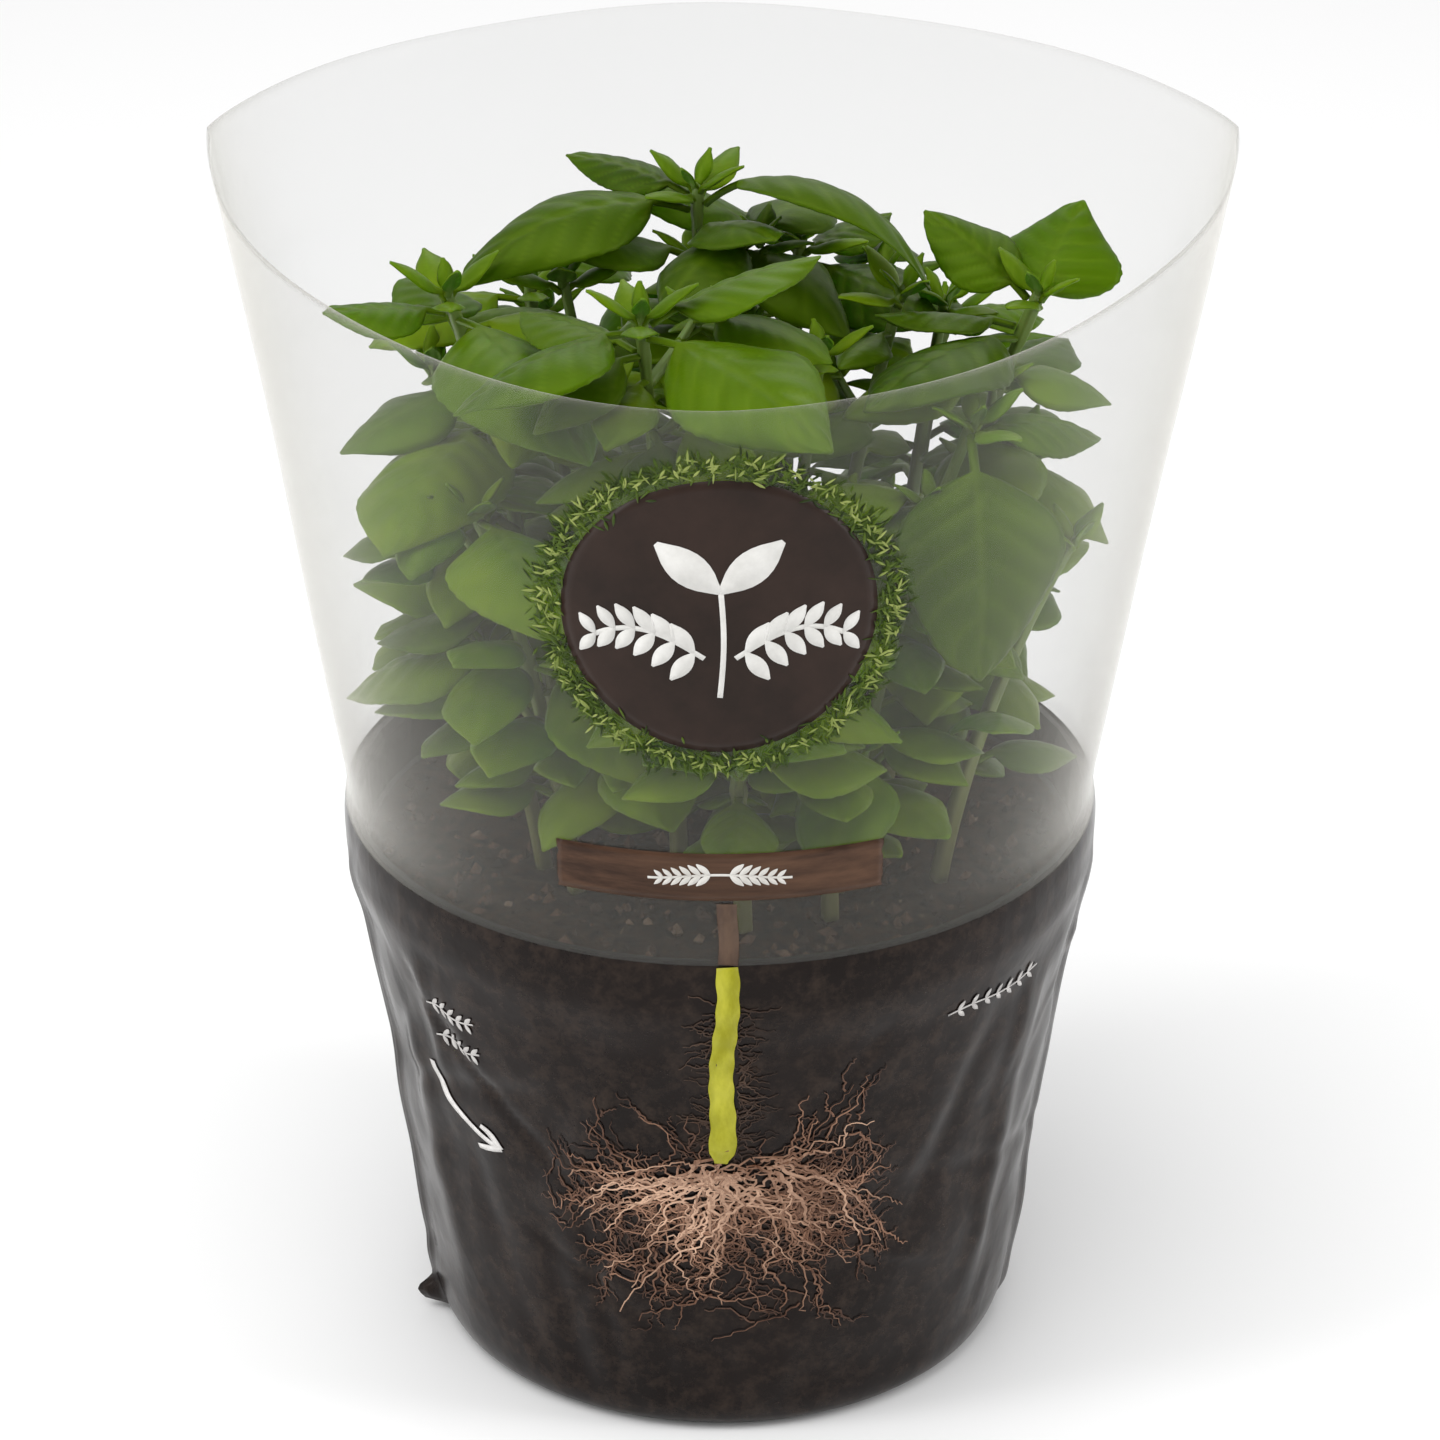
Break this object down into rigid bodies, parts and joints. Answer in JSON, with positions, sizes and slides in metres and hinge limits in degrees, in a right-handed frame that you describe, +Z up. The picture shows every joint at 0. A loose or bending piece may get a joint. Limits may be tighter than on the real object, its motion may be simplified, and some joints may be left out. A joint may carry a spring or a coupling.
{
  "type": "potted basil plant in a film sleeve",
  "caption": "Potted basil plant: stems and leaves growing from soil in a round plastic pot, standing in a flared clear film sleeve that is printed dark below the rim.",
  "frame": {"origin": "centre of the sleeve's flat bottom, on the surface that the plant stands on", "axes": "+Z up, -Y towards the printed front, +X to the right of the front"},
  "size_m": [0.1732, 0.154, 0.2276],
  "materials": {
    "pot": "satin",
    "soil": "matte",
    "film": "gloss",
    "stem": "satin",
    "leaf": "satin"
  },
  "bodies": {
    "root": {"leaf_back_1": "leaf", "leaf_back_2": "leaf", "leaf_back_3": "leaf", "leaf_back_4": "leaf", "leaf_back_left_1": "leaf", "leaf_back_left_2": "leaf", "leaf_back_left_3": "leaf", "leaf_back_left_4": "leaf", "leaf_back_right_1": "leaf", "leaf_back_right_2": "leaf", "leaf_back_right_3": "leaf", "leaf_back_right_4": "leaf", "leaf_front_1": "leaf", "leaf_front_2": "leaf", "leaf_front_3": "leaf", "leaf_front_4": "leaf", "leaf_front_5": "leaf", "leaf_front_6": "leaf", "leaf_front_left_1": "leaf", "leaf_front_left_2": "leaf", "leaf_front_left_3": "leaf", "leaf_front_left_4": "leaf", "leaf_front_right_1": "leaf", "leaf_front_right_2": "leaf", "leaf_front_right_3": "leaf", "leaf_front_right_4": "leaf", "leaf_left_1": "leaf", "leaf_left_2": "leaf", "leaf_left_3": "leaf", "leaf_left_4": "leaf", "leaf_left_5": "leaf", "leaf_low_front_1": "leaf", "leaf_low_front_2": "leaf", "leaf_low_front_3": "leaf", "leaf_right_1": "leaf", "leaf_right_2": "leaf", "leaf_right_3": "leaf", "leaf_right_4": "leaf", "leaf_right_5": "leaf", "leaf_right_6": "leaf", "leaf_top_1": "leaf", "leaf_top_2": "leaf", "leaf_top_3": "leaf", "leaf_top_4": "leaf", "leaf_top_5": "leaf", "pot": "pot", "sleeve": "film", "soil": "soil", "stem_back": "stem", "stem_back_left": "stem", "stem_back_right": "stem", "stem_front": "stem", "stem_front_left": "stem", "stem_front_right": "stem", "stem_left": "stem", "stem_low_front": "stem", "stem_right": "stem", "stem_top": "stem"}
  },
  "joints": []
}
